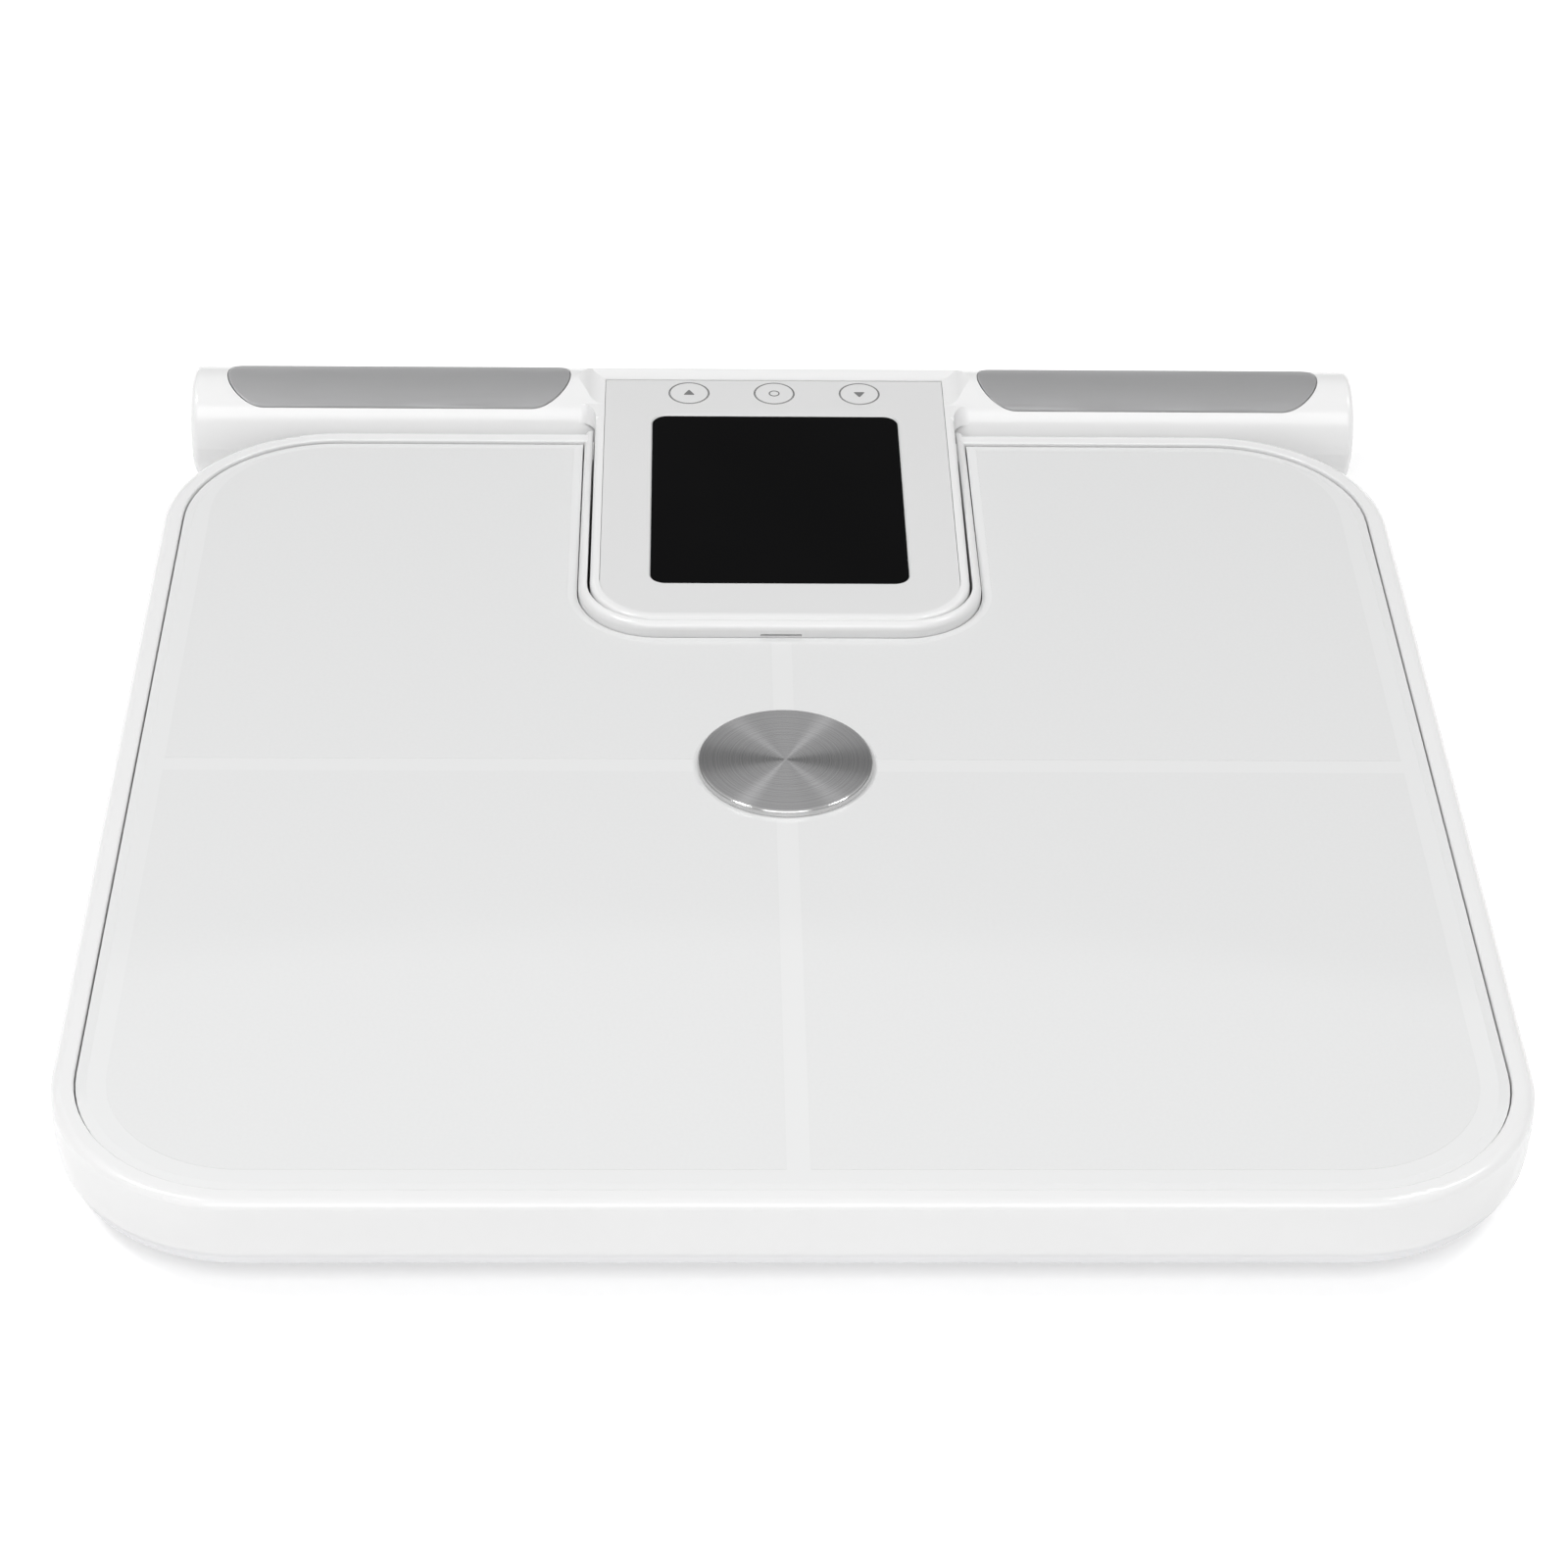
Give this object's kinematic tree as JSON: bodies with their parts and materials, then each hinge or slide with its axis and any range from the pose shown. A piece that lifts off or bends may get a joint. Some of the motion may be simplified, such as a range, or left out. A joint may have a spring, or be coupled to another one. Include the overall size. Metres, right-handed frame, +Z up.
{
  "type": "bathroom scale",
  "caption": "Glass-topped body-composition scale with a steel centre disc and a lift-off rear T-handle that carries a display window, round keys and metal hand electrodes.",
  "frame": {"origin": "centre of the whole footprint, on the floor under the feet", "axes": "+X to the user's right, +Y to the rear where the handle is docked, +Z up"},
  "size_m": [0.321, 0.3415, 0.0341],
  "materials": {
    "platform_glass": "tempered glass, white-backed, polished",
    "electrode_film": "transparent conductive coating, glossy",
    "spun_steel": "circular spun brushing, polished edge",
    "adhesive": "closed-cell foam adhesive",
    "white_gloss": "gloss white ABS",
    "base_plastic": "fine spark texture",
    "cup_plastic": "satin moulded",
    "foot_rubber": "matte",
    "cell_steel": "ground",
    "circuit_board": "solder mask",
    "battery_wrap_light": "printed wrap, no text",
    "battery_wrap_dark": "printed wrap, no text",
    "spring_steel": "nickel-plated",
    "bushing_rubber": "matte",
    "magnet_nickel": "nickel-plated",
    "screw_steel": "zinc-plated",
    "panel_grey": "pale grey, satin",
    "window_black": "gloss black acrylic",
    "display_glass": "liquid-crystal cell",
    "satin_metal": "satin nickel",
    "key_grey": "pale grey, satin",
    "switch_black": "moulded"
  },
  "bodies": {
    "platform": {"platform_glass": "platform_glass", "electrode_front_left": "electrode_film", "electrode_front_right": "electrode_film", "electrode_rear_left": "electrode_film", "electrode_rear_right": "electrode_film", "centre_disc": "spun_steel", "disc_pad": "adhesive", "glass_tape": "adhesive", "top_frame": "white_gloss", "base_shell": "base_plastic", "main_board": "circuit_board", "load_cell_front_left": "cell_steel", "load_cell_front_right": "cell_steel", "load_cell_rear_left": "cell_steel", "load_cell_rear_right": "cell_steel", "foot_cup_front_left": "cup_plastic", "foot_cup_front_right": "cup_plastic", "foot_cup_rear_left": "cup_plastic", "foot_cup_rear_right": "cup_plastic", "rubber_foot_front_left": "foot_rubber", "rubber_foot_front_right": "foot_rubber", "rubber_foot_rear_left": "foot_rubber", "rubber_foot_rear_right": "foot_rubber", "battery_cell_1": "battery_wrap_dark", "battery_cell_2": "battery_wrap_light", "battery_cell_3": "battery_wrap_dark", "battery_cell_4": "battery_wrap_light", "battery_contacts": "spring_steel", "reel_housing": "cup_plastic", "reel_cover": "cup_plastic", "reel_spring": "spring_steel", "cord_bushing": "bushing_rubber", "dock_magnets": "magnet_nickel", "case_screws": "screw_steel"},
    "handle": {"handle_top_shell": "white_gloss", "handle_bottom_shell": "white_gloss", "display_panel": "panel_grey", "display_window": "window_black", "display_module": "display_glass", "handle_board": "circuit_board", "thumb_electrode_left": "satin_metal", "thumb_electrode_right": "satin_metal", "finger_electrode_left": "satin_metal", "finger_electrode_right": "satin_metal", "key_switches": "switch_black", "handle_screws": "screw_steel", "keeper_plates": "spring_steel", "handle_bushing": "bushing_rubber"},
    "key_up": {"key_up": "key_grey"},
    "key_set": {"key_set": "key_grey"},
    "key_down": {"key_down": "key_grey"},
    "battery_door": {"battery_door": "base_plastic"},
    "reel_drum": {"reel_drum": "cup_plastic"}
  },
  "joints": [
    {"name": "handle_lift", "type": "slide", "parent": "platform", "child": "handle", "axis": [0, 0, 1], "range_m": [0, 0.15]},
    {"name": "key_up_press", "type": "slide", "parent": "handle", "child": "key_up", "axis": [0, 0.0227, -0.9997], "range_m": [0, 0.0004], "stiffness_N_per_m": 1500},
    {"name": "key_set_press", "type": "slide", "parent": "handle", "child": "key_set", "axis": [0, 0.0227, -0.9997], "range_m": [0, 0.0004], "stiffness_N_per_m": 1500},
    {"name": "key_down_press", "type": "slide", "parent": "handle", "child": "key_down", "axis": [0, 0.0227, -0.9997], "range_m": [0, 0.0004], "stiffness_N_per_m": 1500},
    {"name": "battery_door_hinge", "type": "hinge", "parent": "platform", "child": "battery_door", "pos_m": [0, -0.10245, 0.0064], "axis": [-1, 0, 0], "range_deg": [0, 80]},
    {"name": "reel_spin", "type": "hinge", "parent": "platform", "child": "reel_drum", "pos_m": [0, 0.00475, 0.012], "axis": [0, 0, 1], "range_deg": [0, 480]}
  ],
  "couplings": [
    {"joint": "reel_spin", "follows": "handle_lift", "rad_per_m": 55.556}
  ]
}
